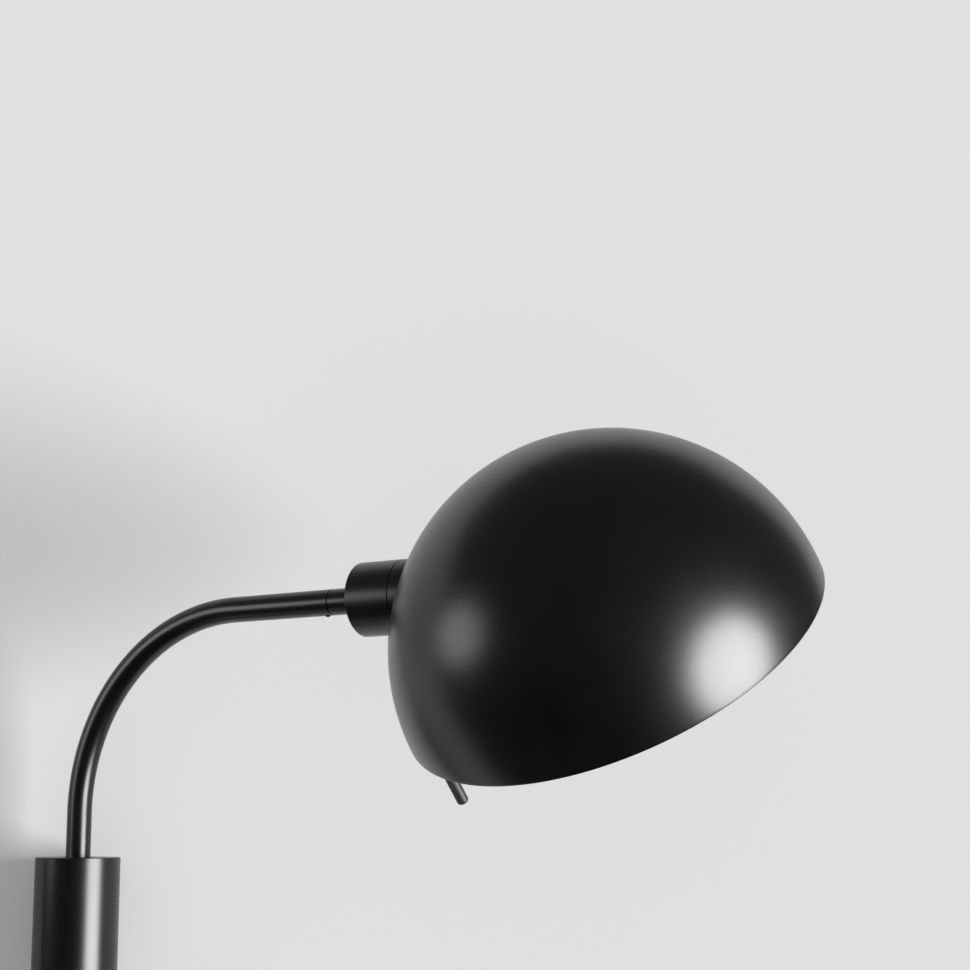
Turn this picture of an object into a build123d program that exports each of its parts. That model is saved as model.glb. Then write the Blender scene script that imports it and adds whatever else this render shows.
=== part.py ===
from build123d import *
from math import asin, cos, degrees, radians, sin, sqrt
import os

# Wall lamp: a vertical stem hangs on a plate on the wall, a bent arm swings in the top of
# the stem, and a hemispherical shade turns on the arm's end.
# Millimetres. Z up, wall face at Y = 0, the lamp reaches out along -Y.
# The origin is the centre of the wall plate's back face.

os.makedirs("parts", exist_ok=True)

# ---- Clearances ----
thread_clearance = 0.05     # radial, screw in its tapped hole
screw_clearance = 0.25      # radial, screw in a plain hole
running_clearance = 0.05    # radial, tube or spigot turning in its bore
seat_clearance = 0.05       # fixed pieces that lie against each other on curved faces
slip_clearance = 0.2        # radial, plugs and blocks slid into the stem
turning_gap = 0.3           # between faces that turn past each other
overshoot = 1.0             # how far a cutting solid passes the surface that it cuts
head_rounding = 0.6         # share of a pan head's height that is rounded
slot_depth_share = 0.5      # share of a head's height that the slot takes
socket_share = 0.5          # share of a socket screw's head or length that the socket takes

# ---- Wall plate and its studs ----
plate_width = 44.0
plate_height = 90.0
plate_thickness = 2.0
plate_corner = 4.0
plate_cable_radius = 6.0
slot_spacing = 32.0
slot_width = 5.0
slot_length = 8.0
stud_spacing = 60.0
stud_radius = 2.5
stud_tail_radius = 2.0
stud_head_radius = 4.5
stud_head_height = 2.0
stud_head_edge = 0.5
keyhole_drop = 12.0         # entry of the keyhole below the stud's seat
m4_radius = 2.0
m4_head_radius = 3.5
m4_head_height = 2.2
m4_slot = 1.0

# ---- Stem ----
stem_radius = 24.0
stem_wall = 2.0
stem_length = 190.0
stem_top_above_plate = 115.0    # above the middle of the wall plate
stem_top_wall = 4.0
stem_top_edge = 0.4
stem_behind_gap = 0.1           # front of the plate to the back of the stem
cable_bush_radius = 5.0
cable_bush_bore = 3.5
cable_bush_flange_radius = 6.5
cable_bush_flange = 1.5
cable_bush_nose = 3.0           # past the flange, inside the stem

# ---- Bearings of the swinging arm ----
bush_radius = 9.0
bush_flange_radius = 12.0
bush_flange = 2.0
block_depth = 62.0          # stem top to the bearing block's upper face
block_thickness = 14.0
block_screw_angle = 40.0    # each side of straight back
block_screw_reach = 10.0    # how deep the screws go into the block
washer_thickness = 1.0
washer_radius = 12.5
thrust_collar_radius = 14.0
thrust_collar_height = 10.0
lug_width = 8.0
lug_reach = 20.5            # from the stem's axis
stop_pin_radius = 2.0
stop_pin_circle = 18.0
stop_pin_height = 11.0
swing_limit = 65.0          # degrees each way
retaining_collar_radius = 12.0
retaining_collar_height = 8.0
collar_screw_radius = 1.5
collar_screw_socket = 1.5

# ---- Bottom cap and terminal block ----
cap_thickness = 3.0
cap_edge = 0.6
cap_spigot = 8.0
cap_screw_height = 4.0      # above the cap's disc
cap_screw_angle = 60.0      # degrees to one side of straight back
tongue_width = 22.0
tongue_thickness = 3.0
tongue_height = 34.0
m3_radius = 1.5
m3_head_radius = 2.75
m3_head_height = 1.8
m3_slot = 0.8
terminal_pitch = 8.0
terminal_ways = 3
terminal_depth = 14.0
terminal_height = 20.0
terminal_above_spigot = 12.0
wire_hole_radius = 2.0
terminal_screw_radius = 1.9
terminal_screw_rows = 11.0
terminal_screw_length = 5.5
terminal_screw_sunk = 0.5
terminal_screw_slot = 0.7
earth_screw_above_spigot = 5.0

# ---- Arm ----
arm_radius = 7.0
arm_wall = 1.5
arm_past_collar = 7.7       # lower end of the arm below its retaining collar
arm_turned = 57.6           # degrees, the arm at rest to the right of straight out
arm_rise = 25.0             # straight tube above the stem, up to the bend
bend_radius = 110.0
arm_run = 66.0              # straight tube after the bend, up to the swivel seam
seam_gap = 0.4
grommet_flange = 2.0
grommet_flange_radius = 8.5
grommet_plug = 6.0
grommet_bore = 3.5
swivel_screw_radius = 1.25
swivel_screw_from_seam = 3.7
swivel_screw_proud = 0.5
swivel_screw_socket = 1.3

# ---- Swivel and hub ----
swivel_angle = 38.0         # degrees, how far the shade is turned at rest
spigot_length = 30.0
spigot_bore = 3.2
groove_width = 3.2
groove_depth = 1.2
ring_section = 0.5          # radius of the friction ring's section
ring_from_seam = 22.0
neck_length = 20.0
neck_edge = 0.3
nipple_radius = 5.0
spigot_thread = 10.0
hub_radius = 19.5
hub_length = 26.0
hub_edge = 0.4
seam_line_width = 0.6
seam_line_depth = 0.6

# ---- Shade ----
shade_radius = 110.0
shade_wall = 1.2
shade_beyond_hub = 1.34         # hub's flat front to the shade's skin, on the hub's axis
shade_centre_below = 39.5       # hub's axis to the shade's centre
shade_tip_forward = 6.7         # degrees, the opening looks this much outward
rim_above_centre = 0.8          # the shade stops just short of a half sphere
rim_hem_width = 2.4
rim_hem_height = 4.0
inner_saddle_radius = 14.0
inner_saddle_edge = 2.2         # thickness at its thinnest
lock_nut_flats = 14.0
lock_nut_height = 5.0
nipple_gap = 1.0                # between the spigot's thread and the nipple inside the hub

# ---- Lampholder and bulb ----
holder_radius = 20.0
holder_wall = 2.5
holder_behind_gap = 1.0         # lock nut to the holder's neck
holder_neck_radius = 8.5
holder_neck_length = 7.0
holder_cap_length = 21.0
holder_flare_length = 8.4
holder_mouth_edge = 1.5
holder_flutes = 20
flute_radius = 1.6
flute_depth = 0.6
flute_end_gap = 5.0             # plain band at each end of the fluted body
holder_body_length = 36.0
holder_floor = 8.0
holder_grip = 9.0               # nipple inside the holder's neck
bulb_cap_radius = 13.0
bulb_cap_length = 22.0
bulb_cap_gap = 0.5              # radial, between bulb cap and holder
bulb_radius = 30.0
bulb_length = 105.0
bulb_glass_wall = 0.9
bulb_shell_wall = 0.45
bulb_tip_height = 2.0
bulb_tip_shoulder = 12.0
glass_in_shell_gap = 1.0         # end of the glass neck to the shell's floor
glass_straight = 1.0             # straight glass in front of the shell
contact_radius = 4.0
contact_height = 2.0

# ---- Toggle switch ----
toggle_inside_shade = 9.0       # lever's axis to the shade's outside
toggle_angle = 52.0             # degrees round the rim, from the hub side
toggle_below_rim = 25.0         # lever's tip past the rim
lever_length = 34.0             # pivot to tip
lever_knob_length = 27.0
lever_knob_radius = 3.0
lever_tip_radius = 2.9
lever_tip_edge = 1.7
lever_rod_radius = 1.3
lever_ball_radius = 1.9
lever_tail = 2.6
lever_pin_radius = 0.7
lever_throw = 20.0              # degrees between the two positions
switch_bushing_radius = 3.1
switch_bushing_length = 7.5
switch_bushing_mouth = 3.0      # pivot to the mouth
switch_body_width = 6.4
switch_body_length = 10.0
switch_body_height = 9.0
switch_tag_width = 2.0
switch_tag_thickness = 0.6
switch_tag_height = 4.0
switch_tag_pitch = 3.3
switch_nut_flats = 8.0
switch_nut_height = 2.0
bracket_thickness = 1.4
bracket_width = 11.0

# ---- Places worked out from the sizes ----
stem_inner = stem_radius - stem_wall
stem_axis_from_wall = plate_thickness + stem_behind_gap + stem_radius
arm_bore = arm_radius - arm_wall
arm_below_top = (
    block_depth + block_thickness + turning_gap + retaining_collar_height + arm_past_collar
)
run_above_top = arm_rise + bend_radius
seam_from_stem = bend_radius + arm_run
shade_bore = shade_radius - shade_wall
hub_front = neck_length + hub_length
shade_half_chord = sqrt(shade_radius**2 - shade_centre_below**2)
shade_centre_z = hub_front + shade_beyond_hub + shade_half_chord
toggle_from_axis = shade_radius - toggle_inside_shade

# Frames: on the wall (x across, y up, z out), down the stem's axis from its top, the
# same turned with the arm, on the swivel seam (z along the hub, y towards the shade's
# crown), in the shade.
on_wall = Plane(origin=(0, 0, 0), x_dir=(1, 0, 0), z_dir=(0, -1, 0)).location
on_stem = Location((0, -stem_axis_from_wall, stem_top_above_plate))
on_arm = on_stem * Rot(0, 0, arm_turned)
turn = radians(swivel_angle)
on_seam = on_arm * Plane(
    origin=(0, -seam_from_stem, run_above_top),
    x_dir=(cos(turn), 0, sin(turn)),
    z_dir=(0, -1, 0),
).location
tip = radians(shade_tip_forward)
in_shade = Plane(
    origin=(0, -shade_centre_below, shade_centre_z),
    x_dir=(1, 0, 0),
    z_dir=(0, cos(tip), -sin(tip)),
).location
toggle_turn = radians(toggle_angle)
outward = Vector(-sin(toggle_turn), cos(toggle_turn), 0)
sideways = Vector(cos(toggle_turn), sin(toggle_turn), 0)
pivot = outward * toggle_from_axis + Vector(0, 0, lever_length - toggle_below_rim)
half_throw = radians(lever_throw / 2)
lever_in_shade = Plane(origin=pivot, x_dir=outward, z_dir=(0, 0, -1)).location
switch_in_shade = Plane(
    origin=pivot,
    x_dir=outward,
    z_dir=Vector(0, 0, -cos(half_throw)) + sideways * sin(half_throw),
).location


def disc(radius, low, high):
    """Round bar on the Z axis between two heights."""
    return Pos(0, 0, low) * extrude(Circle(radius), high - low)


def tube(radius, bore, low, high):
    """Round bar with a bore right through."""
    return disc(radius, low, high) - disc(bore, low - overshoot, high + overshoot)


def block(size_x, size_y, low, high):
    """Square bar centred on the Z axis between two heights."""
    return Pos(0, 0, low) * extrude(Rectangle(size_x, size_y), high - low)


def hexagon_bar(flats, low, high):
    """Hexagon bar on the Z axis between two heights."""
    return Pos(0, 0, low) * extrude(RegularPolygon(flats / sqrt(3), 6), high - low)


def hexagon_nut(flats, bore, low, high):
    """Hexagon nut on the Z axis."""
    return hexagon_bar(flats, low, high) - disc(bore, low - overshoot, high + overshoot)


def turned(*points):
    """Solid turned on a lathe from its half outline of (radius, height) points."""
    outline = make_face(Polyline([(x, 0, z) for x, z in points], close=True))
    return revolve(outline, Axis.Z)


def pan_screw(radius, length, head_radius, head_height, slot):
    """Screw whose head stands above Z = 0, shank down, with a slot in the head."""
    head = disc(head_radius, 0, head_height)
    top = head.edges().group_by(Axis.Z)[-1]
    head = fillet(top, head_height * head_rounding)
    slot_floor = head_height * (1 - slot_depth_share)
    cut = block(2 * (head_radius + overshoot), slot, slot_floor, head_height + overshoot)
    return head - cut + disc(radius, -length, 0)


def sunk_screw(radius, length, flats):
    """Headless screw whose socket end lies at Z = 0, point down."""
    shank = disc(radius, -length, 0)
    return shank - hexagon_bar(flats, -length * socket_share, overshoot)


def save(shape, name):
    """Write one piece, or a group of like pieces, in the lamp's frame."""
    solids = shape.solids()
    piece = Compound(solids) if len(solids) > 1 else solids[0]
    piece.label = name
    export_step(piece, "parts/" + name + ".step")


# ---- Wall plate: pressed steel, hidden behind the stem, slots for two wall screws ----
slots = Sketch() + [
    Pos(side * slot_spacing / 2, 0) * SlotOverall(slot_length, slot_width) for side in (-1, 1)
]
stud_places = [Pos(0, side * stud_spacing / 2, 0) for side in (-1, 1)]
plate_face = RectangleRounded(plate_width, plate_height, plate_corner)
plate_face = plate_face - Circle(plate_cable_radius) - slots
wall_plate = extrude(plate_face, plate_thickness)
for place in stud_places:
    tail_hole = disc(stud_tail_radius + seat_clearance, -overshoot, plate_thickness + overshoot)
    wall_plate = wall_plate - place * tail_hole
save(on_wall * wall_plate, "wall_plate")


def stem_inside_at(offset):
    """Wall face to the inside of the stem's back, at a distance to one side of its middle."""
    return stem_axis_from_wall - sqrt(stem_inner**2 - offset**2)


# ---- Studs: riveted in the plate, their heads hold the stem from inside ----
stud_head_back = stem_inside_at(stud_head_radius) + slip_clearance
stud_head_front = stud_head_back + stud_head_height
stud_head = disc(stud_head_radius, stud_head_back, stud_head_front)
stud_head = chamfer(stud_head.edges().group_by(Axis.Z)[-1], stud_head_edge)
stud = disc(stud_tail_radius, 0, plate_thickness) + disc(stud_radius, plate_thickness, stud_head_back)
stud = stud + stud_head
save(on_wall * Compound(children=[place * stud for place in stud_places]), "hanging_studs")

# ---- Cable bush: flanged sleeve in the stem's back, for the supply cable ----
flange_back = stem_inside_at(cable_bush_flange_radius) + seat_clearance
flange_front = flange_back + cable_bush_flange
bush_back = stem_axis_from_wall - stem_radius
cable_bush = tube(cable_bush_radius, cable_bush_bore, bush_back, flange_front + cable_bush_nose)
cable_bush = cable_bush + tube(cable_bush_flange_radius, cable_bush_bore, flange_back, flange_front)
save(on_wall * cable_bush, "cable_bush")

# ---- Stem: drawn tube, closed at the top round the arm's upper bush ----
stem_open = cap_thickness - stem_length
stem_blank = disc(stem_radius, stem_open, 0)
stem_blank = chamfer(stem_blank.edges().group_by(Axis.Z)[-1], stem_top_edge)
stem = stem_blank - disc(stem_inner, stem_open - overshoot, -stem_top_wall)
stem = stem - disc(bush_radius, -stem_top_wall - overshoot, overshoot)
stem = Pos(0, -stem_axis_from_wall, stem_top_above_plate) * stem
stem_cuts = disc(cable_bush_radius + seat_clearance, 0, stem_axis_from_wall)
keyhole_entry = disc(stud_head_radius + screw_clearance, 0, stem_axis_from_wall)
keyhole_width = 2 * (stud_radius + screw_clearance)
keyhole_slot = Pos(0, -keyhole_drop / 2, 0) * block(keyhole_width, keyhole_drop, 0, stem_axis_from_wall)
keyhole = disc(keyhole_width / 2, 0, stem_axis_from_wall) + keyhole_slot
keyhole = keyhole + Pos(0, -keyhole_drop, 0) * keyhole_entry
for place in stud_places:
    stem_cuts = stem_cuts + place * keyhole
stem = stem - on_wall * stem_cuts
block_middle = -block_depth - block_thickness / 2
block_screw_places = [
    on_stem * Pos(0, 0, block_middle) * Rot(0, 0, 90 + side * block_screw_angle) * Rot(0, 90, 0)
    for side in (-1, 1)
]
for place in block_screw_places:
    stem = stem - place * disc(m4_radius + screw_clearance, 0, stem_radius + overshoot)
cap_screw_place = (
    on_stem * Pos(0, 0, stem_open + cap_screw_height) * Rot(0, 0, cap_screw_angle) * Rot(-90, 0, 0)
)
stem = stem - cap_screw_place * disc(m3_radius + screw_clearance, 0, stem_radius + overshoot)
save(stem, "stem_tube")

# ---- Upper bush: flanged plastic sleeve in the stem's closed top ----
arm_running = arm_radius + running_clearance
upper_bush = tube(bush_radius - seat_clearance, arm_running, -stem_top_wall, -stem_top_edge)
upper_bush = upper_bush + tube(
    bush_flange_radius, arm_running, -stem_top_wall - bush_flange, -stem_top_wall
)
save(on_stem * upper_bush, "upper_bush")

# ---- Bearing block: turned disc deep in the stem ----
block_top = -block_depth
block_bottom = block_top - block_thickness
stem_fit = stem_inner - slip_clearance
bearing_block = tube(stem_fit, bush_radius + seat_clearance, block_bottom, block_top)
bearing_block = on_stem * bearing_block
for place in block_screw_places:
    bearing_block = bearing_block - place * disc(m4_radius + thread_clearance, 0, stem_radius)
stop_angle = swing_limit + degrees(asin((lug_width / 2 + stop_pin_radius + turning_gap) / stop_pin_circle))
stop_pin_places = [
    on_stem * Rot(0, 0, side * stop_angle) * Pos(0, -stop_pin_circle, 0) for side in (-1, 1)
]
stop_pin_seat = stop_pin_height / 2
for place in stop_pin_places:
    seat = disc(stop_pin_radius + seat_clearance, block_top - stop_pin_seat, block_top + overshoot)
    bearing_block = bearing_block - place * seat
save(bearing_block, "bearing_block")

# ---- Two screws from behind hold the bearing block ----
block_screw = pan_screw(m4_radius, stem_wall + block_screw_reach, m4_head_radius, m4_head_height, m4_slot)
block_screws = Compound(
    children=[place * Pos(0, 0, stem_radius) * block_screw for place in block_screw_places]
)
save(block_screws, "bearing_block_screws")

# ---- Lower bush and friction washer, on which the arm's collar turns ----
lower_bush = tube(bush_radius, arm_running, block_bottom, block_top)
lower_bush = lower_bush + tube(bush_flange_radius, arm_running, block_top, block_top + bush_flange)
save(on_stem * lower_bush, "lower_bush")
washer_low = block_top + bush_flange
washer_top = washer_low + washer_thickness
friction_washer = tube(washer_radius, arm_running + screw_clearance, washer_low, washer_top)
save(on_stem * friction_washer, "friction_washer")

# ---- Stop pins: the collar's lug meets one at each end of the swing ----
stop_pin = disc(stop_pin_radius, block_top - stop_pin_seat, block_top + stop_pin_height)
save(Compound(children=[place * stop_pin for place in stop_pin_places]), "stop_pins")

# ---- Bottom cap: disc and spigot closing the stem, with a tongue for the terminals ----
cap = disc(stem_radius, -stem_length, stem_open)
cap = chamfer(cap.edges().group_by(Axis.Z)[0], cap_edge)
spigot_top = stem_open + cap_spigot
cap = cap + disc(stem_fit, stem_open, spigot_top)
cap = cap + block(tongue_width, tongue_thickness, spigot_top, spigot_top + tongue_height)
tongue_front = -tongue_thickness / 2
terminal_low = spigot_top + terminal_above_spigot
terminal_middle = terminal_low + terminal_height / 2
through_tongue = Rot(90, 0, 0)
strip_screw_places = [
    on_stem * Pos(side * terminal_pitch / 2, tongue_front - terminal_depth, terminal_middle) * through_tongue
    for side in (-1, 1)
]
earth_place = on_stem * Pos(0, -tongue_front, spigot_top + earth_screw_above_spigot) * Rot(-90, 0, 0)
cap = on_stem * cap
cap = cap - cap_screw_place * disc(m3_radius + thread_clearance, 0, stem_radius)
strip_screw_length = terminal_depth + tongue_thickness
for place in strip_screw_places:
    cap = cap - place * disc(m3_radius + thread_clearance, -strip_screw_length - overshoot, 0)
cap = cap - earth_place * disc(m4_radius + thread_clearance, -tongue_thickness - overshoot, overshoot)
save(cap, "bottom_cap")

cap_screw = pan_screw(m3_radius, stem_wall + cap_spigot, m3_head_radius, m3_head_height, m3_slot)
save(cap_screw_place * Pos(0, 0, stem_radius) * cap_screw, "bottom_cap_screw")

# ---- Terminal block: moulded strip with a wire hole and two clamping screws a way ----
strip_width = terminal_ways * terminal_pitch
strip_middle = tongue_front - terminal_depth / 2
strip = Pos(0, strip_middle, 0) * block(
    strip_width, terminal_depth, terminal_low, terminal_low + terminal_height
)
way_places = [(way - (terminal_ways - 1) / 2) * terminal_pitch for way in range(terminal_ways)]
strip_front = tongue_front - terminal_depth
terminal_screw_places = [
    Pos(x, strip_front, terminal_middle + row * terminal_screw_rows / 2) * through_tongue
    for x in way_places
    for row in (-1, 1)
]
for x in way_places:
    wire_hole = disc(wire_hole_radius, terminal_low - overshoot, terminal_low + terminal_height + overshoot)
    strip = strip - Pos(x, strip_middle, 0) * wire_hole
for place in terminal_screw_places:
    strip = strip - place * disc(terminal_screw_radius + seat_clearance, -terminal_depth / 2, overshoot)
strip = on_stem * strip
for place in strip_screw_places:
    strip = strip - place * disc(m3_radius + screw_clearance, -terminal_depth - overshoot, overshoot)
save(strip, "terminal_block")

terminal_screw_top = -terminal_screw_sunk
terminal_screw = disc(terminal_screw_radius, terminal_screw_top - terminal_screw_length, terminal_screw_top)
terminal_screw = terminal_screw - block(
    2 * (terminal_screw_radius + overshoot), terminal_screw_slot, terminal_screw_top - terminal_screw_slot, 0
)
save(
    on_stem * Compound(children=[place * terminal_screw for place in terminal_screw_places]),
    "terminal_screws",
)
strip_screw = pan_screw(m3_radius, strip_screw_length, m3_head_radius, m3_head_height, m3_slot)
save(Compound(children=[place * strip_screw for place in strip_screw_places]), "terminal_block_screws")
earth_screw = pan_screw(m4_radius, tongue_thickness, m4_head_radius, m4_head_height, m4_slot)
save(earth_place * earth_screw, "earth_screw")

# ---- Arm: one tube, bent through a quarter turn ----
route = FilletPolyline(
    (0, 0, -arm_below_top),
    (0, 0, run_above_top),
    (0, seam_gap - seam_from_stem, run_above_top),
    radius=bend_radius,
)
arm_section = Plane(origin=(0, 0, -arm_below_top), z_dir=(0, 0, 1)) * (Circle(arm_radius) - Circle(arm_bore))
arm = on_arm * sweep(arm_section, path=route)
swivel_screw_place = (
    on_arm * Pos(0, swivel_screw_from_seam - seam_from_stem, run_above_top) * Rot(180, 0, 0)
)
swivel_screw_hole = disc(swivel_screw_radius + thread_clearance, 0, arm_radius + overshoot)
arm = arm - swivel_screw_place * swivel_screw_hole
collar_middle = washer_top + turning_gap + thrust_collar_height / 2
retaining_top = block_bottom - turning_gap
retaining_middle = retaining_top - retaining_collar_height / 2
save(arm, "arm_tube")

# ---- Thrust collar: carries the arm on the washer and has the lug for the stop pins ----
collar_bore = arm_radius + seat_clearance
collar_low = washer_top + turning_gap
collar_high = collar_low + thrust_collar_height
thrust_collar = disc(thrust_collar_radius, collar_low, collar_high)
lug = Pos(0, -lug_reach / 2, 0) * block(lug_width, lug_reach, collar_low, collar_high)
thrust_collar = thrust_collar + lug - disc(collar_bore, collar_low - overshoot, collar_high + overshoot)
collar_screw_hole = disc(collar_screw_radius + thread_clearance, 0, thrust_collar_radius + overshoot)
thrust_screw_place = Pos(0, 0, collar_middle) * Rot(-90, 0, 0)
thrust_collar = thrust_collar - thrust_screw_place * collar_screw_hole
save(on_arm * thrust_collar, "thrust_collar")

# ---- Retaining collar: under the block, keeps the arm from being lifted out ----
retaining_low = retaining_top - retaining_collar_height
retaining_collar = tube(retaining_collar_radius, collar_bore, retaining_low, retaining_top)
retaining_screw_place = Pos(0, 0, retaining_middle) * Rot(-90, 0, 0)
retaining_collar = retaining_collar - retaining_screw_place * collar_screw_hole
save(on_arm * retaining_collar, "retaining_collar")

thrust_screw = Pos(0, 0, thrust_collar_radius) * sunk_screw(
    collar_screw_radius, thrust_collar_radius - collar_bore, collar_screw_socket
)
retaining_screw = Pos(0, 0, retaining_collar_radius) * sunk_screw(
    collar_screw_radius, retaining_collar_radius - collar_bore, collar_screw_socket
)
collar_screws = Compound(
    children=[thrust_screw_place * thrust_screw, retaining_screw_place * retaining_screw]
)
save(on_arm * collar_screws, "collar_screws")

# ---- Grommet in the arm's lower end, for the wires ----
grommet_top = -arm_below_top
grommet = tube(grommet_flange_radius, grommet_bore, grommet_top - grommet_flange, grommet_top)
grommet = grommet + tube(arm_bore - seat_clearance, grommet_bore, grommet_top, grommet_top + grommet_plug)
save(on_arm * grommet, "arm_grommet")

# ---- Swivel screw: under the arm's end, its point runs in the spigot's groove ----
groove_floor = arm_bore - running_clearance - groove_depth
swivel_screw_top = arm_radius + swivel_screw_proud
swivel_screw_length = swivel_screw_top - groove_floor - turning_gap
swivel_screw = sunk_screw(swivel_screw_radius, swivel_screw_length, swivel_screw_socket)
save(swivel_screw_place * Pos(0, 0, swivel_screw_top) * swivel_screw, "swivel_screw")

# ---- Swivel spigot: turned piece, in the arm behind the seam, a neck in front of it ----
spigot_radius = arm_bore - running_clearance
half_groove = groove_width / 2
ring_groove_floor = spigot_radius - 2 * ring_section - seat_clearance
half_ring_groove = ring_section + running_clearance + seat_clearance
spigot = tube(spigot_radius, spigot_bore, -spigot_length, 0)
spigot = spigot - tube(
    arm_radius, groove_floor, -swivel_screw_from_seam - half_groove, -swivel_screw_from_seam + half_groove
)
spigot = spigot - tube(
    arm_radius, ring_groove_floor, -ring_from_seam - half_ring_groove, -ring_from_seam + half_ring_groove
)
neck = tube(arm_radius, spigot_bore, 0, neck_length)
neck = chamfer(neck.edges().filter_by(GeomType.CIRCLE).sort_by(SortBy.RADIUS)[-2:], neck_edge)
spigot = spigot + neck + tube(nipple_radius, spigot_bore, neck_length, neck_length + spigot_thread)
save(on_seam * spigot, "swivel_spigot")

friction_ring = Pos(0, 0, -ring_from_seam) * Torus(spigot_radius - ring_section, ring_section)
save(on_seam * friction_ring, "friction_ring")

# ---- Hub: turned boss, hollowed where the shade bulges past its front ----
sphere_outside = in_shade * Sphere(shade_radius + seat_clearance)
sphere_inside = in_shade * Sphere(shade_bore - seat_clearance)
nipple_bore = nipple_radius + thread_clearance
hub_blank = disc(hub_radius, neck_length, hub_front)
hub_blank = chamfer(hub_blank.edges().group_by(Axis.Z)[0], hub_edge)
hub = hub_blank - disc(nipple_bore, neck_length - overshoot, hub_front + overshoot) - sphere_outside
save(on_seam * hub, "hub")

# ---- Hub ring: fills the wedge between the hub's flat front and the shade ----
ring_reach = hub_front + hub_radius
hub_ring = tube(hub_radius, nipple_bore, hub_front, ring_reach)
hub_ring = hub_ring - tube(
    hub_radius + overshoot, hub_radius - seam_line_depth, hub_front - overshoot, hub_front + seam_line_width
)
hub_ring = hub_ring - sphere_outside
save(on_seam * hub_ring, "hub_ring")

# ---- Shade: spun half sphere with a folded hem inside its rim ----
hem_inner = shade_radius - rim_hem_width
hem_top_z = rim_above_centre + rim_hem_height
rim_outer = sqrt(shade_radius**2 - rim_above_centre**2)
hem_corner = sqrt(shade_bore**2 - hem_top_z**2)
crown = radians(45)
outer_arc = ThreePointArc(
    (0, 0, shade_radius),
    (shade_radius * sin(crown), 0, shade_radius * cos(crown)),
    (rim_outer, 0, rim_above_centre),
)
rim_line = Line((rim_outer, 0, rim_above_centre), (hem_inner, 0, rim_above_centre))
hem_line = Line((hem_inner, 0, rim_above_centre), (hem_inner, 0, hem_top_z))
hem_top = Line((hem_inner, 0, hem_top_z), (hem_corner, 0, hem_top_z))
middle_angle = asin(hem_corner / shade_bore) / 2
inner_arc = ThreePointArc(
    (hem_corner, 0, hem_top_z),
    (shade_bore * sin(middle_angle), 0, shade_bore * cos(middle_angle)),
    (0, 0, shade_bore),
)
axis_line = Line((0, 0, shade_bore), (0, 0, shade_radius))
shade_profile = make_face(outer_arc + rim_line + hem_line + hem_top + inner_arc + axis_line)
shade = in_shade * revolve(shade_profile, Axis.Z)
shade = shade - disc(nipple_radius + screw_clearance, neck_length, shade_centre_z)
save(on_seam * shade, "shade")

# ---- Inner saddle: its round back fits the shade, its flat front takes the nut ----
upper_edge = shade_centre_below + inner_saddle_radius
saddle_front = shade_centre_z - sqrt(shade_bore**2 - upper_edge**2) + inner_saddle_edge
inner_saddle = disc(inner_saddle_radius, neck_length, saddle_front) & sphere_inside
inner_saddle = inner_saddle - disc(nipple_bore, neck_length, saddle_front + overshoot)
save(on_seam * inner_saddle, "inner_saddle")

# ---- Nipple and lock nut: clamp hub, ring, shade and saddle together ----
nut_front = saddle_front + lock_nut_height
holder_back = nut_front + holder_behind_gap
nipple_front = holder_back + holder_grip
nipple_back = neck_length + spigot_thread + nipple_gap
nipple = tube(nipple_radius, spigot_bore, nipple_back, nipple_front)
save(on_seam * nipple, "threaded_nipple")
lock_nut = hexagon_nut(lock_nut_flats, nipple_bore, saddle_front, nut_front)
save(on_seam * lock_nut, "lock_nut")

# ---- Lampholder: cap on the nipple, and the body that the bulb screws into ----
cap_front = holder_back + holder_cap_length
flare_start = holder_back + holder_neck_length
flare_end = flare_start + holder_flare_length
holder_cap = turned(
    (nipple_bore, holder_back),
    (holder_neck_radius, holder_back),
    (holder_neck_radius, flare_start),
    (holder_radius, flare_end),
    (holder_radius, cap_front),
    (holder_radius - holder_wall, cap_front),
    (holder_radius - holder_wall, flare_end + holder_wall / 2),
    (nipple_bore + holder_wall, flare_start + holder_wall),
    (nipple_bore, flare_start + holder_wall),
)
save(on_seam * holder_cap, "lampholder_cap")
body_front = cap_front + holder_body_length
holder_floor_front = cap_front + holder_floor
holder_bore = bulb_cap_radius + bulb_cap_gap
holder_body = tube(holder_radius, holder_bore, holder_floor_front, body_front)
holder_body = holder_body + tube(holder_radius, contact_radius / 2, cap_front, holder_floor_front)
holder_body = fillet(
    holder_body.edges().filter_by(GeomType.CIRCLE).group_by(Axis.Z)[-1].sort_by(SortBy.RADIUS)[-1:],
    holder_mouth_edge,
)
flute = disc(flute_radius, cap_front + flute_end_gap, body_front - flute_end_gap)
flute_circle = holder_radius + flute_radius - flute_depth
for flute_place in PolarLocations(flute_circle, holder_flutes):
    holder_body = holder_body - flute_place * flute
save(on_seam * holder_body, "lampholder_body")
contact_front = holder_floor_front + contact_height
contact = disc(contact_radius, holder_floor_front, contact_front)
contact = contact + disc(contact_radius / 2 - seat_clearance, cap_front, holder_floor_front)
save(on_seam * contact, "centre_contact")

# ---- Bulb: screw cap with its tip on the contact, and the glass ----
bulb_back = contact_front + seat_clearance
shell_back = bulb_back + bulb_tip_height
shell_front = shell_back + bulb_cap_length
bulb_front = bulb_back + bulb_length
globe_centre = bulb_front - bulb_radius
bulb_tip = turned(
    (0, bulb_back),
    (contact_radius, bulb_back),
    (bulb_tip_shoulder, shell_back),
    (0, shell_back),
)
save(on_seam * bulb_tip, "bulb_contact")
bulb_cap = disc(bulb_cap_radius, shell_back, shell_front)
bulb_shell_bore = bulb_cap_radius - bulb_shell_wall
bulb_cap = bulb_cap - disc(bulb_shell_bore, shell_back + bulb_shell_wall, shell_front + overshoot)
save(on_seam * bulb_cap, "bulb_cap")
neck_radius = bulb_shell_bore - seat_clearance
neck_back = shell_back + bulb_shell_wall + glass_in_shell_gap
shoulder = shell_front + glass_straight


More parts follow.
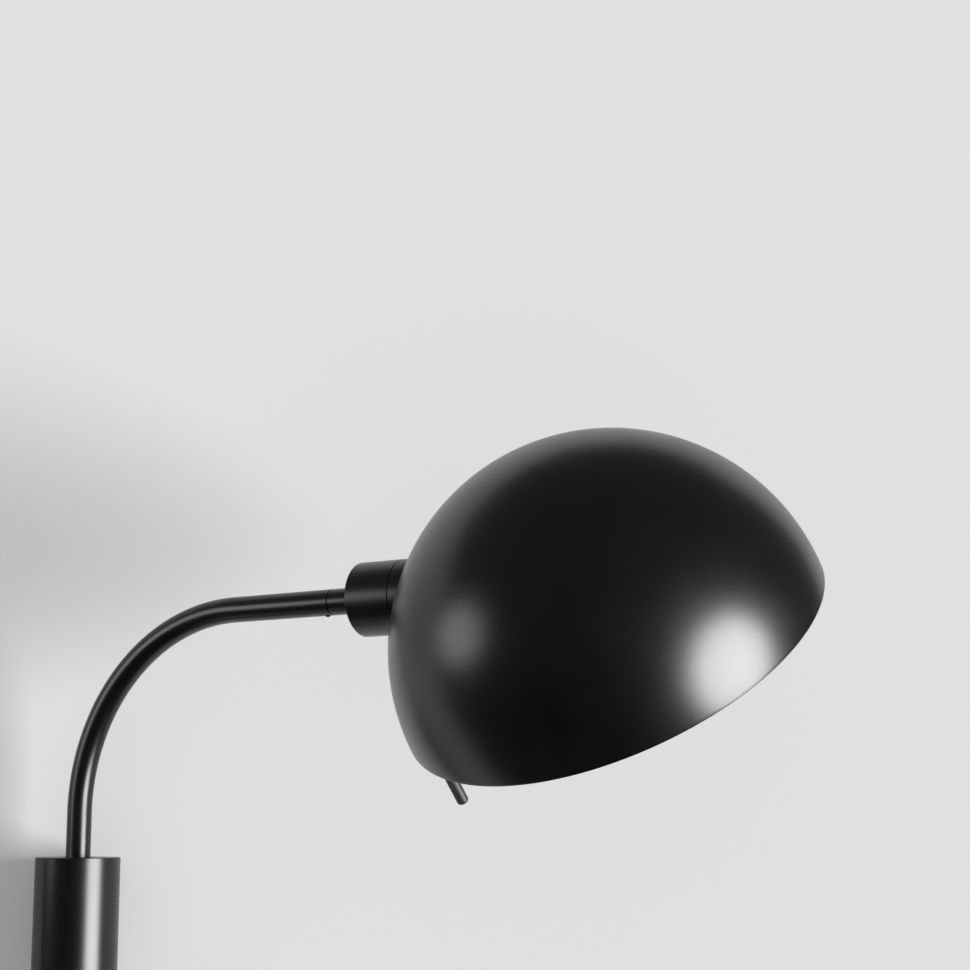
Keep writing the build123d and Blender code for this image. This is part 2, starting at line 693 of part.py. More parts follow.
def bulb_form(grow):
    """Pear shape of the bulb, drawn in by grow: straight neck, hollow flank, ball."""
    ball = bulb_radius - grow
    throat = neck_radius - grow
    rise = globe_centre - shoulder
    flank = (rise**2 + throat**2 - ball**2) / (2 * (ball - throat))
    lean = asin(rise / (flank + ball))
    meet = Vector(throat + flank * (1 - cos(lean)), 0, shoulder + flank * sin(lean))
    half_lean = lean / 2
    flank_middle = (throat + flank * (1 - cos(half_lean)), 0, shoulder + flank * sin(half_lean))
    flank_arc = ThreePointArc((throat, 0, shoulder), flank_middle, meet)
    ball_arc = ThreePointArc(meet, (ball, 0, globe_centre), (0, 0, globe_centre + ball))
    sides = Polyline(
        (0, 0, globe_centre + ball),
        (0, 0, neck_back + grow),
        (throat, 0, neck_back + grow),
        (throat, 0, shoulder),
    )
    return revolve(make_face(flank_arc + ball_arc + sides), Axis.Z)


save(on_seam * (bulb_form(0) - bulb_form(bulb_glass_wall)), "bulb_glass")

# ---- Switch bracket: bent tab, spot welded inside the shade near its rim ----
tab_top = -switch_bushing_length + switch_bushing_mouth
tab_bottom = tab_top + bracket_thickness
leg_top = tab_top - switch_body_height
shell_outer = Sphere(shade_bore - seat_clearance)
shell_inner = Sphere(shade_bore - seat_clearance - bracket_thickness)
tab_reach = shade_radius - toggle_from_axis
tab = Pos(tab_reach / 2 - switch_body_width / 4, 0, 0) * block(
    tab_reach + switch_body_width / 2, bracket_width, tab_top, tab_bottom
)
leg = Pos(tab_reach / 2, 0, 0) * block(tab_reach + overshoot, bracket_width, leg_top, tab_bottom)
bracket = (switch_in_shade * leg & (shell_outer - shell_inner)) + (switch_in_shade * tab & shell_outer)
bracket_hole = disc(switch_bushing_radius + seat_clearance, tab_top - overshoot, tab_bottom + overshoot)
bracket = bracket - switch_in_shade * bracket_hole
save(on_seam * in_shade * bracket, "switch_bracket")

# ---- Toggle switch: body with its solder tags, threaded bushing, and the nut ----
lever_room = lever_ball_radius + turning_gap
body_low = tab_top - switch_body_height
switch_body = block(switch_body_width, switch_body_length, body_low, tab_top)
switch_body = switch_body + disc(switch_bushing_radius, tab_top, switch_bushing_mouth)
for step in (-1, 0, 1):
    tag = Pos(0, step * switch_tag_pitch, 0) * block(
        switch_tag_width, switch_tag_thickness, body_low - switch_tag_height, body_low
    )
    switch_body = switch_body + tag
switch_body = switch_body - disc(lever_room, -lever_tail - overshoot, switch_bushing_mouth + overshoot)
pin_reach = switch_bushing_radius + overshoot
pin_hole = Rot(0, 90, 0) * disc(lever_pin_radius + running_clearance, -pin_reach, pin_reach)
switch_body = switch_body - pin_hole
save(on_seam * in_shade * switch_in_shade * switch_body, "switch_body")
switch_nut = hexagon_nut(
    switch_nut_flats, switch_bushing_radius + thread_clearance, tab_bottom, tab_bottom + switch_nut_height
)
save(on_seam * in_shade * switch_in_shade * switch_nut, "switch_nut")

# ---- Lever: ball and cross pin in the bushing, rod, and the long round knob below the rim ----
knob_start = lever_length - lever_knob_length
knob = turned(
    (0, knob_start),
    (lever_knob_radius, knob_start),
    (lever_tip_radius, lever_length),
    (0, lever_length),
)
knob = fillet(knob.edges().group_by(Axis.Z)[-1], lever_tip_edge)
lever = Sphere(lever_ball_radius) + disc(lever_rod_radius, -lever_tail, knob_start) + knob
pin_end = switch_bushing_radius - seat_clearance
lever = lever + Rot(0, 90, 0) * disc(lever_pin_radius, -pin_end, pin_end)
save(on_seam * in_shade * lever_in_shade * lever, "switch_lever")

# ---- Where the swivel and the lever turn, in the lamp's frame ----
pivot_place = on_seam * in_shade * Location(pivot)
axis_end = on_seam * in_shade * Location(pivot + outward)
print("switch pivot", pivot_place.position)
print("switch axis", axis_end.position - pivot_place.position)
seam_place = on_seam.position
print("swivel seam", seam_place)
print("swivel axis", (on_seam * Location((0, 0, 1))).position - seam_place)
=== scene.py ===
from collections import Counter
from math import acos, cos, pi, radians, sin, sqrt

import bmesh
import bpy
from mathutils import Matrix, Vector


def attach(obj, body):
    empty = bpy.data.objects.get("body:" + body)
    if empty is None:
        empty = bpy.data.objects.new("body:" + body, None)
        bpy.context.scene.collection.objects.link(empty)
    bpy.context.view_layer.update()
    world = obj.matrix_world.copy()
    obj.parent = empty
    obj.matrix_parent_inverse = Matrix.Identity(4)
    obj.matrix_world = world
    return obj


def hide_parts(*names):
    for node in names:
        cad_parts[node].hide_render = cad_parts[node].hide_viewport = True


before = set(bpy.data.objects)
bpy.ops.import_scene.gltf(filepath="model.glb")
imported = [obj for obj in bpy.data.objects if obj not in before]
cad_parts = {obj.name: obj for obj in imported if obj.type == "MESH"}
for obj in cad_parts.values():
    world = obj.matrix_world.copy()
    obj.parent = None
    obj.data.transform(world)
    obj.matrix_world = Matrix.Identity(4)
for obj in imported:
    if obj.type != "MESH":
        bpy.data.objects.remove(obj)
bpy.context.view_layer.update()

# ---- Wall plate and hanging studs ----
# A pressed steel plate, zinc plated, screwed flat on the wall behind the stem. Two turned
# studs are riveted in it, and the keyholes in the stem's back hang on them.


def step(tree, kind, feeds=(), **options):
    """Add a node, set its options, and feed its inputs from other nodes or with plain values."""
    made = tree.nodes.new(kind)
    for option, value in options.items():
        setattr(made, option, value)
    for name, feed in dict(feeds).items():
        if isinstance(feed, bpy.types.NodeSocket):
            tree.links.new(feed, made.inputs[name])
        else:
            made.inputs[name].default_value = feed
    return made


def reckon(tree, operation, first, second=0.0):
    """One step of arithmetic on sockets or plain numbers."""
    return step(tree, "ShaderNodeMath", {0: first, 1: second}, operation=operation).outputs[0]


def finish(
    name, colour, roughness, metallic=0.0, mottle=0.1, patch=0.02, uneven=0.04,
    grain=0.0006, depth=0.000002, turned_about=None,
):
    """A finish with clouded colour, uneven gloss and a fine grain, or lathe marks about a place."""
    made = bpy.data.materials.new(name)
    made.use_nodes = True
    tree = made.node_tree
    shader = tree.nodes["Principled BSDF"]
    shader.inputs["Metallic"].default_value = metallic
    shader.inputs["IOR"].default_value = 1.5
    where = step(tree, "ShaderNodeTexCoord").outputs["Object"]
    clouds = step(tree, "ShaderNodeTexNoise", {"Vector": where, "Scale": 1 / patch, "Detail": 5.0})
    tones = step(tree, "ShaderNodeValToRGB", {0: clouds.outputs[0]})
    for stop, share, place in zip(tones.color_ramp.elements, (1 - mottle, 1 + mottle), (0.35, 0.65)):
        stop.position = place
        stop.color = [min(level * share, 1.0) for level in colour] + [1.0]
    tree.links.new(tones.outputs[0], shader.inputs["Base Color"])
    gloss = step(tree, "ShaderNodeMapRange", {
        "Value": clouds.outputs[0], "From Min": 0.35, "From Max": 0.65,
        "To Min": roughness - uneven, "To Max": roughness + uneven,
    })
    tree.links.new(gloss.outputs[0], shader.inputs["Roughness"])
    if turned_about is not None:
        local = step(tree, "ShaderNodeMapping", {
            "Vector": where, "Location": turned_about.to_translation(), "Rotation": turned_about.to_euler(),
        }, vector_type="TEXTURE")
        split = step(tree, "ShaderNodeSeparateXYZ", {0: local.outputs[0]})
        across = reckon(tree, "MULTIPLY", split.outputs[0], split.outputs[0])
        along = reckon(tree, "MULTIPLY", split.outputs[1], split.outputs[1])
        radius = reckon(tree, "SQRT", reckon(tree, "ADD", across, along))
        where = step(tree, "ShaderNodeCombineXYZ", {0: radius, 1: split.outputs[2]}).outputs[0]
    marks = step(tree, "ShaderNodeTexNoise", {"Vector": where, "Scale": 1 / grain, "Detail": 2.0})
    relief = step(tree, "ShaderNodeBump", {"Height": marks.outputs[0], "Distance": depth})
    tree.links.new(relief.outputs[0], shader.inputs["Normal"])
    return made


def dress(made, *names):
    """Give pieces of the frame their finish."""
    for name in names:
        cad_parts[name].material_slots[0].material = made


zinc_plating = finish(
    "zinc_plating", (0.52, 0.53, 0.55), 0.42, metallic=0.8, mottle=0.1, patch=0.005,
    uneven=0.05, grain=0.0009, depth=0.000003,
)
dress(zinc_plating, "wall_plate", "hanging_studs")

# ---- Cable bush ----
# A flanged sleeve moulded in black nylon, pushed into the stem's back from inside. The supply
# comes through it out of the wall.
black_nylon = finish("black_nylon", (0.022, 0.022, 0.023), 0.5, mottle=0.2, grain=0.0003, depth=0.000008)
dress(black_nylon, "cable_bush")

# ---- Stem ----
# Drawn steel tube with a closed top, sprayed with fine black satin paint, which flows out to
# a faint orange peel.
black_paint = finish(
    "black_satin_paint", (0.0024, 0.0024, 0.0025), 0.295, mottle=0.15, patch=0.03,
    uneven=0.012, grain=0.0011, depth=0.0000015,
)
dress(black_paint, "stem_tube")

# ---- Bearings of the swinging arm ----
# The arm turns in a nylon sleeve in the stem's top and in a brass bush, set in a turned
# aluminium block. A pressed fibre washer carries it, and two steel pins end its swing.
stem_from_wall = 0.0261
stem_axis = Matrix.Translation((0.0, -stem_from_wall, 0.0))
turned_aluminium = finish(
    "turned_aluminium", (0.70, 0.70, 0.71), 0.27, metallic=1.0, mottle=0.06, uneven=0.05,
    grain=0.00035, depth=0.000005, turned_about=stem_axis,
)
turned_brass = finish(
    "turned_brass", (0.72, 0.51, 0.21), 0.25, metallic=1.0, mottle=0.1, patch=0.008, uneven=0.06,
    grain=0.0003, depth=0.000004, turned_about=stem_axis,
)
pressed_fibre = finish(
    "pressed_fibre", (0.30, 0.10, 0.06), 0.75, mottle=0.3, patch=0.0015, grain=0.0004, depth=0.00003,
)
dress(black_nylon, "upper_bush")
dress(turned_aluminium, "bearing_block")
dress(turned_brass, "lower_bush")
dress(pressed_fibre, "friction_washer")
dress(zinc_plating, "stop_pins")

# ---- Pan screws ----
# Slotted pan-head machine screws of blackened or zinc-plated steel or brass: two from behind in
# the bearing block, one in the bottom cap, two in the terminal block, one for the earth.


def wave(tree, shape, radius, pitch, depth):
    """Roll a round thread into the side of a bar that stands on the Z axis."""
    here = step(tree, "GeometryNodeInputPosition").outputs[0]
    x, y, z = step(tree, "ShaderNodeSeparateXYZ", {0: here}).outputs
    round_turn = reckon(tree, "DIVIDE", reckon(tree, "ARCTAN2", y, x), 2 * pi)
    turns = reckon(tree, "SUBTRACT", reckon(tree, "DIVIDE", z, pitch), round_turn)
    phase = reckon(tree, "MULTIPLY", turns, 2 * pi)
    valley = reckon(tree, "MULTIPLY", reckon(tree, "SUBTRACT", 1.0, reckon(tree, "COSINE", phase)), 0.5)
    sunk_share = reckon(tree, "DIVIDE", reckon(tree, "MULTIPLY", valley, depth), radius)
    shrink = reckon(tree, "SUBTRACT", 1.0, sunk_share)
    scale = step(tree, "ShaderNodeCombineXYZ", {0: shrink, 1: shrink, 2: 1.0}).outputs[0]
    moved = step(tree, "ShaderNodeVectorMath", {0: here, 1: scale}, operation="MULTIPLY").outputs[0]
    return step(tree, "GeometryNodeSetPosition", {"Geometry": shape, "Position": moved}).outputs[0]


def recipe(name, *asks):
    """A geometry recipe with named inputs; gives back its tree and the sockets of its inputs."""
    tree = bpy.data.node_groups.new(name, "GeometryNodeTree")
    tree.interface.new_socket(name="Geometry", in_out="INPUT", socket_type="NodeSocketGeometry")
    for ask in asks:
        tree.interface.new_socket(name=ask, in_out="INPUT", socket_type="NodeSocketFloat")
    tree.interface.new_socket(name="Finish", in_out="INPUT", socket_type="NodeSocketMaterial")
    tree.interface.new_socket(name="Geometry", in_out="OUTPUT", socket_type="NodeSocketGeometry")
    return tree, step(tree, "NodeGroupInput").outputs


def close(tree, shape, made):
    """End a recipe: real geometry, in its finish."""
    real = step(tree, "GeometryNodeRealizeInstances", {0: shape}).outputs[0]
    dressed = step(tree, "GeometryNodeSetMaterial", {"Geometry": real, "Material": made}).outputs[0]
    step(tree, "NodeGroupOutput", {0: dressed})


def make(name, points, edges, tree, sizes, made, turned=None):
    """Carry out a recipe on a wire of points, and keep the outcome as one plain mesh."""
    wire = bpy.data.meshes.new(name)
    wire.from_pydata(points, edges, [])
    if turned is not None:
        toward = wire.attributes.new("toward", "FLOAT_VECTOR", "POINT")
        for item, way in zip(toward.data, turned):
            item.vector = way
    piece = bpy.data.objects.new(name, wire)
    bpy.context.scene.collection.objects.link(piece)
    growth = piece.modifiers.new(name, "NODES")
    growth.node_group = tree
    asked = {item.name: item.identifier for item in tree.interface.items_tree if item.in_out == "INPUT"}
    for size, value in sizes.items():
        growth[asked[size]] = value
    growth[asked["Finish"]] = made
    grown = piece.evaluated_get(bpy.context.evaluated_depsgraph_get())
    mesh = bpy.data.meshes.new_from_object(grown)
    piece.modifiers.clear()
    piece.data = mesh
    mesh.materials.clear()
    mesh.materials.append(made)
    return piece


def smooth(mesh, crease=35.0):
    """Round shading, with the corners kept sharp."""
    for face in mesh.polygons:
        face.use_smooth = True
    mesh.set_sharp_from_angle(angle=radians(crease))


crown_share = 0.6
thread_share = 0.55
cutter_share = 2.4

tree, ask = recipe(
    "pan_screw", "Shank radius", "Shank length", "Head radius", "Head height", "Slot width", "Pitch",
    "Seed",
)
head = step(tree, "GeometryNodeMeshCylinder", {
    "Vertices": 48, "Side Segments": 14, "Radius": ask["Head radius"], "Depth": ask["Head height"],
}).outputs[0]
half_head = reckon(tree, "MULTIPLY", ask["Head height"], 0.5)
lift = step(tree, "ShaderNodeCombineXYZ", {2: half_head}).outputs[0]
head = step(tree, "GeometryNodeTransform", {"Geometry": head, "Translation": lift}).outputs[0]
here = step(tree, "GeometryNodeInputPosition").outputs[0]
height = step(tree, "ShaderNodeSeparateXYZ", {0: here}).outputs[2]
rounding = reckon(tree, "MULTIPLY", ask["Head height"], crown_share)
start = reckon(tree, "SUBTRACT", ask["Head height"], rounding)
above = reckon(tree, "MAXIMUM", reckon(tree, "SUBTRACT", height, start), 0.0)
rounding_squared = reckon(tree, "MULTIPLY", rounding, rounding)
above_squared = reckon(tree, "MULTIPLY", above, above)
left = reckon(tree, "MAXIMUM", reckon(tree, "SUBTRACT", rounding_squared, above_squared), 0.0)
flat_top = reckon(tree, "SUBTRACT", ask["Head radius"], rounding)
reach = reckon(tree, "ADD", flat_top, reckon(tree, "SQRT", left))
narrow = reckon(tree, "DIVIDE", reach, ask["Head radius"])
narrow = step(tree, "ShaderNodeCombineXYZ", {0: narrow, 1: narrow, 2: 1.0}).outputs[0]
crowned = step(tree, "ShaderNodeVectorMath", {0: here, 1: narrow}, operation="MULTIPLY").outputs[0]
head = step(tree, "GeometryNodeSetPosition", {"Geometry": head, "Position": crowned}).outputs[0]
cutter_length = reckon(tree, "MULTIPLY", ask["Head radius"], cutter_share)
cutter_size = step(tree, "ShaderNodeCombineXYZ", {
    0: cutter_length, 1: ask["Slot width"], 2: ask["Head height"],
}).outputs[0]
cutter = step(tree, "GeometryNodeMeshCube", {"Size": cutter_size}).outputs[0]
raised = step(tree, "ShaderNodeCombineXYZ", {2: ask["Head height"]}).outputs[0]
cutter = step(tree, "GeometryNodeTransform", {"Geometry": cutter, "Translation": raised}).outputs[0]
slotted = step(
    tree, "GeometryNodeMeshBoolean", {"Mesh 1": head, "Mesh 2": cutter},
    operation="DIFFERENCE", solver="MANIFOLD",
)
shank = step(tree, "GeometryNodeMeshCylinder", {
    "Vertices": 24, "Side Segments": 110, "Radius": ask["Shank radius"], "Depth": ask["Shank length"],
}).outputs[0]
sunk = reckon(tree, "MULTIPLY", ask["Shank length"], -0.5)
down = step(tree, "ShaderNodeCombineXYZ", {2: sunk}).outputs[0]
shank = step(tree, "GeometryNodeTransform", {"Geometry": shank, "Translation": down}).outputs[0]
thread = reckon(tree, "MULTIPLY", ask["Pitch"], thread_share)
shank = wave(tree, shank, ask["Shank radius"], ask["Pitch"], thread)
screw = step(tree, "GeometryNodeJoinGeometry")
for part in (slotted.outputs[0], shank):
    tree.links.new(part, screw.inputs[0])
toward = step(
    tree, "GeometryNodeInputNamedAttribute", {"Name": "toward"}, data_type="FLOAT_VECTOR",
).outputs[0]
faced = step(tree, "FunctionNodeAlignRotationToVector", {"Vector": toward}, axis="Z").outputs[0]
chance = step(
    tree, "FunctionNodeRandomValue", {2: 0.0, 3: pi, "Seed": ask["Seed"]}, data_type="FLOAT",
).outputs[1]
twist = step(
    tree, "FunctionNodeAxisAngleToRotation", {"Axis": (0.0, 0.0, 1.0), "Angle": chance},
).outputs[0]
driven = step(
    tree, "FunctionNodeRotateRotation", {"Rotation": faced, "Rotate By": twist}, rotation_space="LOCAL",
)
seats = step(tree, "GeometryNodeMeshToPoints", {0: ask["Geometry"]}).outputs[0]
screws = step(tree, "GeometryNodeInstanceOnPoints", {
    "Points": seats, "Instance": screw.outputs[0], "Rotation": driven.outputs[0],
}).outputs[0]
close(tree, screws, ask["Finish"])

blackened_steel = finish(
    "blackened_steel", (0.045, 0.044, 0.043), 0.36, metallic=1.0, mottle=0.2, patch=0.003,
    uneven=0.06, grain=0.0005, depth=0.000004,
)
m4 = {
    "Shank radius": 0.002, "Head radius": 0.0035, "Head height": 0.0022, "Slot width": 0.001,
    "Pitch": 0.0007,
}
m3 = {
    "Shank radius": 0.0015, "Head radius": 0.00275, "Head height": 0.0018, "Slot width": 0.0008,
    "Pitch": 0.0005,
}
stem_radius = 0.024
block_screw_height = 0.046
block_screw_angle = radians(40)
cap_screw_height = -0.068
cap_screw_angle = radians(60)
block_ways = [
    Vector((side * -sin(block_screw_angle), cos(block_screw_angle), 0.0)) for side in (-1, 1)
]
cap_way = Vector((-sin(cap_screw_angle), cos(cap_screw_angle), 0.0))
out = Vector((0.0, -1.0, 0.0))
block_seat = Vector((0.0, -stem_from_wall, block_screw_height))
cap_seat = Vector((0.0, -stem_from_wall, cap_screw_height))
terminal_seats = [Vector((side * 0.004, -0.0416, -0.042)) for side in (-1, 1)]
earth_seat = Vector((0, -0.0246, -0.059))
screw_jobs = [
    (
        "bearing_block_screws", [block_seat + way * stem_radius for way in block_ways], block_ways,
        m4, 0.012, blackened_steel, "black_screw",
    ),
    (
        "bottom_cap_screw", [cap_seat + cap_way * stem_radius], [cap_way],
        m3, 0.010, blackened_steel, "black_screw",
    ),
    (
        "terminal_block_screws", terminal_seats, [out, out],
        m3, 0.017, zinc_plating, "zinc_steel",
    ),
    (
        "earth_screw", [earth_seat], [-out],
        m4, 0.003, turned_brass, "brass",
    ),
]
for seed, (name, places, turned, sizes, length, made, slot) in enumerate(screw_jobs):
    asked = dict(sizes, **{"Shank length": length, "Seed": float(seed)})
    piece = make(name + "_slotted", places, [], tree, asked, made, turned)
    smooth(piece.data)
    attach(piece, "wall_mount")
    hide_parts(name)

# ---- Bottom cap and terminal block ----
# A painted steel cap closes the stem from below. Its tongue carries a three-way terminal block
# moulded in pale plastic, with brass clamping screws.
pale_plastic = finish(
    "pale_moulded_plastic", (0.70, 0.69, 0.62), 0.42, mottle=0.05, patch=0.01, grain=0.0004, depth=0.000006,
)
dress(black_paint, "bottom_cap")
dress(pale_plastic, "terminal_block")
dress(turned_brass, "terminal_screws")

# ---- Arm ----
# One steel tube, bent through a quarter turn on a mandrel and painted with the stem. It turns
# on two steel collars inside the stem, and a small screw under its end keeps the swivel in.
stem_top = 0.115
swung_by = radians(57.6)
arm_place = Matrix.Translation((0.0, -stem_from_wall, stem_top)) @ Matrix.Rotation(swung_by, 4, "Z")
arm_radius = 0.007
arm_wall = 0.0015
arm_foot = -0.092
arm_height = 0.135
seam = -0.176
seam_gap = 0.0004
bend_radius = 0.110

tree, ask = recipe("bent_tube", "Bend radius", "Tube radius")
line = step(tree, "GeometryNodeMeshToCurve", {0: ask["Geometry"]}).outputs[0]
route = step(tree, "GeometryNodeFilletCurve", {
    "Curve": line, "Count": 72, "Radius": ask["Bend radius"],
}, mode="POLY").outputs[0]
section = step(tree, "GeometryNodeCurvePrimitiveCircle", {
    "Resolution": 72, "Radius": ask["Tube radius"],
}).outputs[0]
skin = step(tree, "GeometryNodeCurveToMesh", {"Curve": route, "Profile Curve": section}).outputs[0]
close(tree, skin, ask["Finish"])

arm_line = [(0, 0, arm_foot), (0, 0, arm_height), (0, seam + seam_gap, arm_height)]
arm = make(
    "arm_tube_bent", arm_line, [(0, 1), (1, 2)], tree,
    {"Bend radius": bend_radius, "Tube radius": arm_radius}, black_paint,
)


def outward(mesh, place):
    """Put a mesh in its place, and turn its faces outwards."""
    work = bmesh.new()
    work.from_mesh(mesh)
    work.transform(place)
    bmesh.ops.recalc_face_normals(work, faces=work.faces)
    if all(edge.is_manifold for edge in work.edges) and work.calc_volume(signed=True) < 0:
        bmesh.ops.reverse_faces(work, faces=work.faces)
    work.to_mesh(mesh)
    work.free()


outward(arm.data, arm_place)
smooth(arm.data)
faces_at = Counter(key for face in arm.data.polygons for key in face.edge_keys)
for edge in arm.data.edges:
    if faces_at[edge.key] == 1:
        edge.use_edge_sharp = True
wall = arm.modifiers.new("tube_wall", "SOLIDIFY")
wall.thickness = arm_wall
wall.offset = -1.0
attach(arm, "arm")
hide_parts("arm_tube")

black_rubber = finish(
    "black_rubber", (0.02, 0.02, 0.02), 0.7, mottle=0.25, patch=0.004, grain=0.0003, depth=0.00001,
)
dress(zinc_plating, "thrust_collar", "retaining_collar")
dress(blackened_steel, "collar_screws", "swivel_screw")
dress(black_rubber, "arm_grommet")

# ---- Swivel, hub and hub ring ----
# The neck is one turned piece with the spigot that turns in the arm's end, held by a rubber
# ring. The hub and its ring, turned to the shade's curve, are painted black with the neck.
turned_by = radians(38.0)
seam_place = arm_place @ Matrix.Translation((0.0, seam, arm_height)) @ Matrix((
    (cos(turned_by), -sin(turned_by), 0.0, 0.0),
    (0.0, 0.0, -1.0, 0.0),
    (sin(turned_by), cos(turned_by), 0.0, 0.0),
    (0.0, 0.0, 0.0, 1.0),
))
dress(black_paint, "swivel_spigot", "hub", "hub_ring")
dress(black_rubber, "friction_ring")

# ---- Shade ----
# A half sphere spun from steel sheet, with its rim folded inwards, black outside and sprayed
# matt white inside, where faint rings of the spinning still show.
shade_radius = 0.110
shade_wall = 0.0012
rim_height = 0.0008
hem_width = 0.0024
hem_height = 0.004
rim_round = 0.0005
hem_chamfer = 0.0003
shade_sides = 288
arc_steps = 110
inside_slack = 0.0002
tip = radians(6.7)
shade_centre_below = 0.0395
shade_from_seam = 0.150003
shade_centre = Matrix.Translation((0.0, -shade_centre_below, shade_from_seam))
shade_place = seam_place @ shade_centre @ Matrix((
    (1.0, 0.0, 0.0, 0.0),
    (0.0, -sin(tip), cos(tip), 0.0),
    (0.0, -cos(tip), -sin(tip), 0.0),
    (0.0, 0.0, 0.0, 1.0),
))


def arc(centre, radius, first, last, steps):
    """Points of (radius, height) along an arc, angles from the Z axis."""
    angles = [first + (last - first) * step_at / steps for step_at in range(steps + 1)]
    return [(centre[0] + radius * sin(angle), centre[1] + radius * cos(angle)) for angle in angles]


def turn_on_lathe(name, outline, sides, place):
    """A solid turned from its half outline of (radius, height) points, from axis to axis."""
    work = bmesh.new()
    rings = []
    for radius, height in outline:
        if radius < 1e-7:
            rings.append([work.verts.new((0.0, 0.0, height))])
            continue
        ring = []
        for side in range(sides):
            angle = 2 * pi * side / sides
            ring.append(work.verts.new((radius * cos(angle), radius * sin(angle), height)))
        rings.append(ring)
    for upper, lower in zip(rings, rings[1:]):
        for side in range(sides):
            after = (side + 1) % sides
            if len(upper) == 1 and len(lower) > 1:
                work.faces.new((upper[0], lower[side], lower[after]))
            elif len(lower) == 1 and len(upper) > 1:
                work.faces.new((upper[side], lower[0], upper[after]))
            elif len(upper) > 1:
                work.faces.new((upper[side], lower[side], lower[after], upper[after]))
    work.transform(place)
    bmesh.ops.recalc_face_normals(work, faces=work.faces)
    mesh = bpy.data.meshes.new(name)
    work.to_mesh(mesh)
    work.free()
    piece = bpy.data.objects.new(name, mesh)
    bpy.context.scene.collection.objects.link(piece)
    return piece


rim_radius = sqrt(shade_radius**2 - (rim_height + rim_round) ** 2)
hem_inner = shade_radius - hem_width
shade_bore = shade_radius - shade_wall
hem_top = rim_height + hem_height
outline = arc((0, 0), shade_radius, 0.0, acos((rim_height + rim_round) / shade_radius), arc_steps)
outline += arc((rim_radius - rim_round, rim_height + rim_round), rim_round, pi / 2, pi, 6)[1:]
outline += arc((hem_inner + rim_round, rim_height + rim_round), rim_round, pi, 3 * pi / 2, 6)
outline += [(hem_inner, hem_top - hem_chamfer), (hem_inner + hem_chamfer, hem_top)]
outline += arc((0, 0), shade_bore, acos(hem_top / shade_bore), 0.0, arc_steps)
outline[0] = (0.0, shade_radius)
outline[-1] = (0.0, shade_bore)
shade = turn_on_lathe("shade_spun", outline, shade_sides, shade_place)
white_inside = finish(
    "white_inside", (0.78, 0.78, 0.77), 0.55, mottle=0.03, patch=0.02, uneven=0.05,
    grain=0.0012, depth=0.00001, turned_about=shade_place,
)
shade.data.materials.append(black_paint)
shade.data.materials.append(white_inside)
to_shade = shade_place.inverted()
for face in shade.data.polygons:
    middle = to_shade @ face.center
    if middle.length < shade_bore + inside_slack and middle.z > hem_top:
        face.material_index = 1
smooth(shade.data)
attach(shade, "shade_head")
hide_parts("shade")

# ---- Inner saddle, nipple and lock nut ----
# A zinc-plated saddle fits the shade's inside. The threaded nipple and the hexagon nut clamp
# hub, ring, shade and saddle together.
dress(zinc_plating, "inner_saddle", "threaded_nipple", "lock_nut")

# ---- Lampholder ----
# Cap and fluted body moulded in glossy black phenolic, with a sprung brass contact in the
# middle.
black_phenolic = finish(
    "black_phenolic", (0.018, 0.016, 0.015), 0.22, mottle=0.25, patch=0.006, grain=0.001, depth=0.000003,
)
holder_brass = finish(
    "contact_brass", (0.72, 0.51, 0.21), 0.3, metallic=1.0, mottle=0.12, patch=0.003, grain=0.0004,
    depth=0.000003,
)
dress(black_phenolic, "lampholder_cap", "lampholder_body")
dress(holder_brass, "centre_contact")

# ---- Bulb ----
# A pear-shaped bulb of opal glass, cemented in a cap of thin sheet with a rolled thread, which
# screws into the holder.
cap_radius = 0.013
cap_length = 0.022
cap_pitch = 0.0036
thread_depth = 0.0004
cap_middle = 0.107515

tree, ask = recipe("rolled_thread", "Radius", "Length", "Pitch", "Depth")
shell = step(tree, "GeometryNodeMeshCylinder", {
    "Vertices": 96, "Side Segments": 88, "Radius": ask["Radius"], "Depth": ask["Length"],
}).outputs[0]
close(tree, wave(tree, shell, ask["Radius"], ask["Pitch"], ask["Depth"]), ask["Finish"])

rolled_sheet = finish(
    "rolled_sheet", (0.72, 0.72, 0.73), 0.3, metallic=1.0, mottle=0.08, patch=0.004, uneven=0.06,
    grain=0.0005, depth=0.000004, turned_about=seam_place,
)
bulb_cap = make(
    "bulb_cap_rolled", [(0, 0, 0)], [], tree,
    {"Radius": cap_radius, "Length": cap_length, "Pitch": cap_pitch, "Depth": thread_depth},
    rolled_sheet,
)
outward(bulb_cap.data, seam_place @ Matrix.Translation((0.0, 0.0, cap_middle)))
smooth(bulb_cap.data)
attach(bulb_cap, "shade_head")
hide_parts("bulb_cap")

opal_glass = finish(
    "opal_glass", (0.86, 0.86, 0.83), 0.09, mottle=0.015, patch=0.02, uneven=0.01, grain=0.004,
    depth=0.000002,
)
dress(holder_brass, "bulb_contact")
dress(opal_glass, "bulb_glass")

# ---- Toggle switch ----
# A small switch on a painted bracket inside the rim, its nylon body with tinned tags, a
# hexagon nut on its bushing, and a black moulded lever that reaches below the rim.
dress(black_paint, "switch_bracket")
dress(black_nylon, "switch_body", "switch_lever")
dress(zinc_plating, "switch_nut")

# ---- Wall and floor ----
# Plain matt wall and floor, both pale grey. From behind or below they aren't seen. The lamp's
# paint mirrors only the lit part of the wall.
pale = 0.7606
wall_behind = 0.0002
floor_height = -0.6
studio_side = 6
wall_foot, wall_top = -3, 5
floor_front = -5


def stage_plane(name, corners, made):
    """A flat piece of the studio."""
    mesh = bpy.data.meshes.new(name)
    mesh.from_pydata(corners, [], [(0, 1, 2, 3)])
    mesh.materials.append(made)
    plane = bpy.data.objects.new(name, mesh)
    bpy.context.scene.collection.objects.link(plane)
    return plane


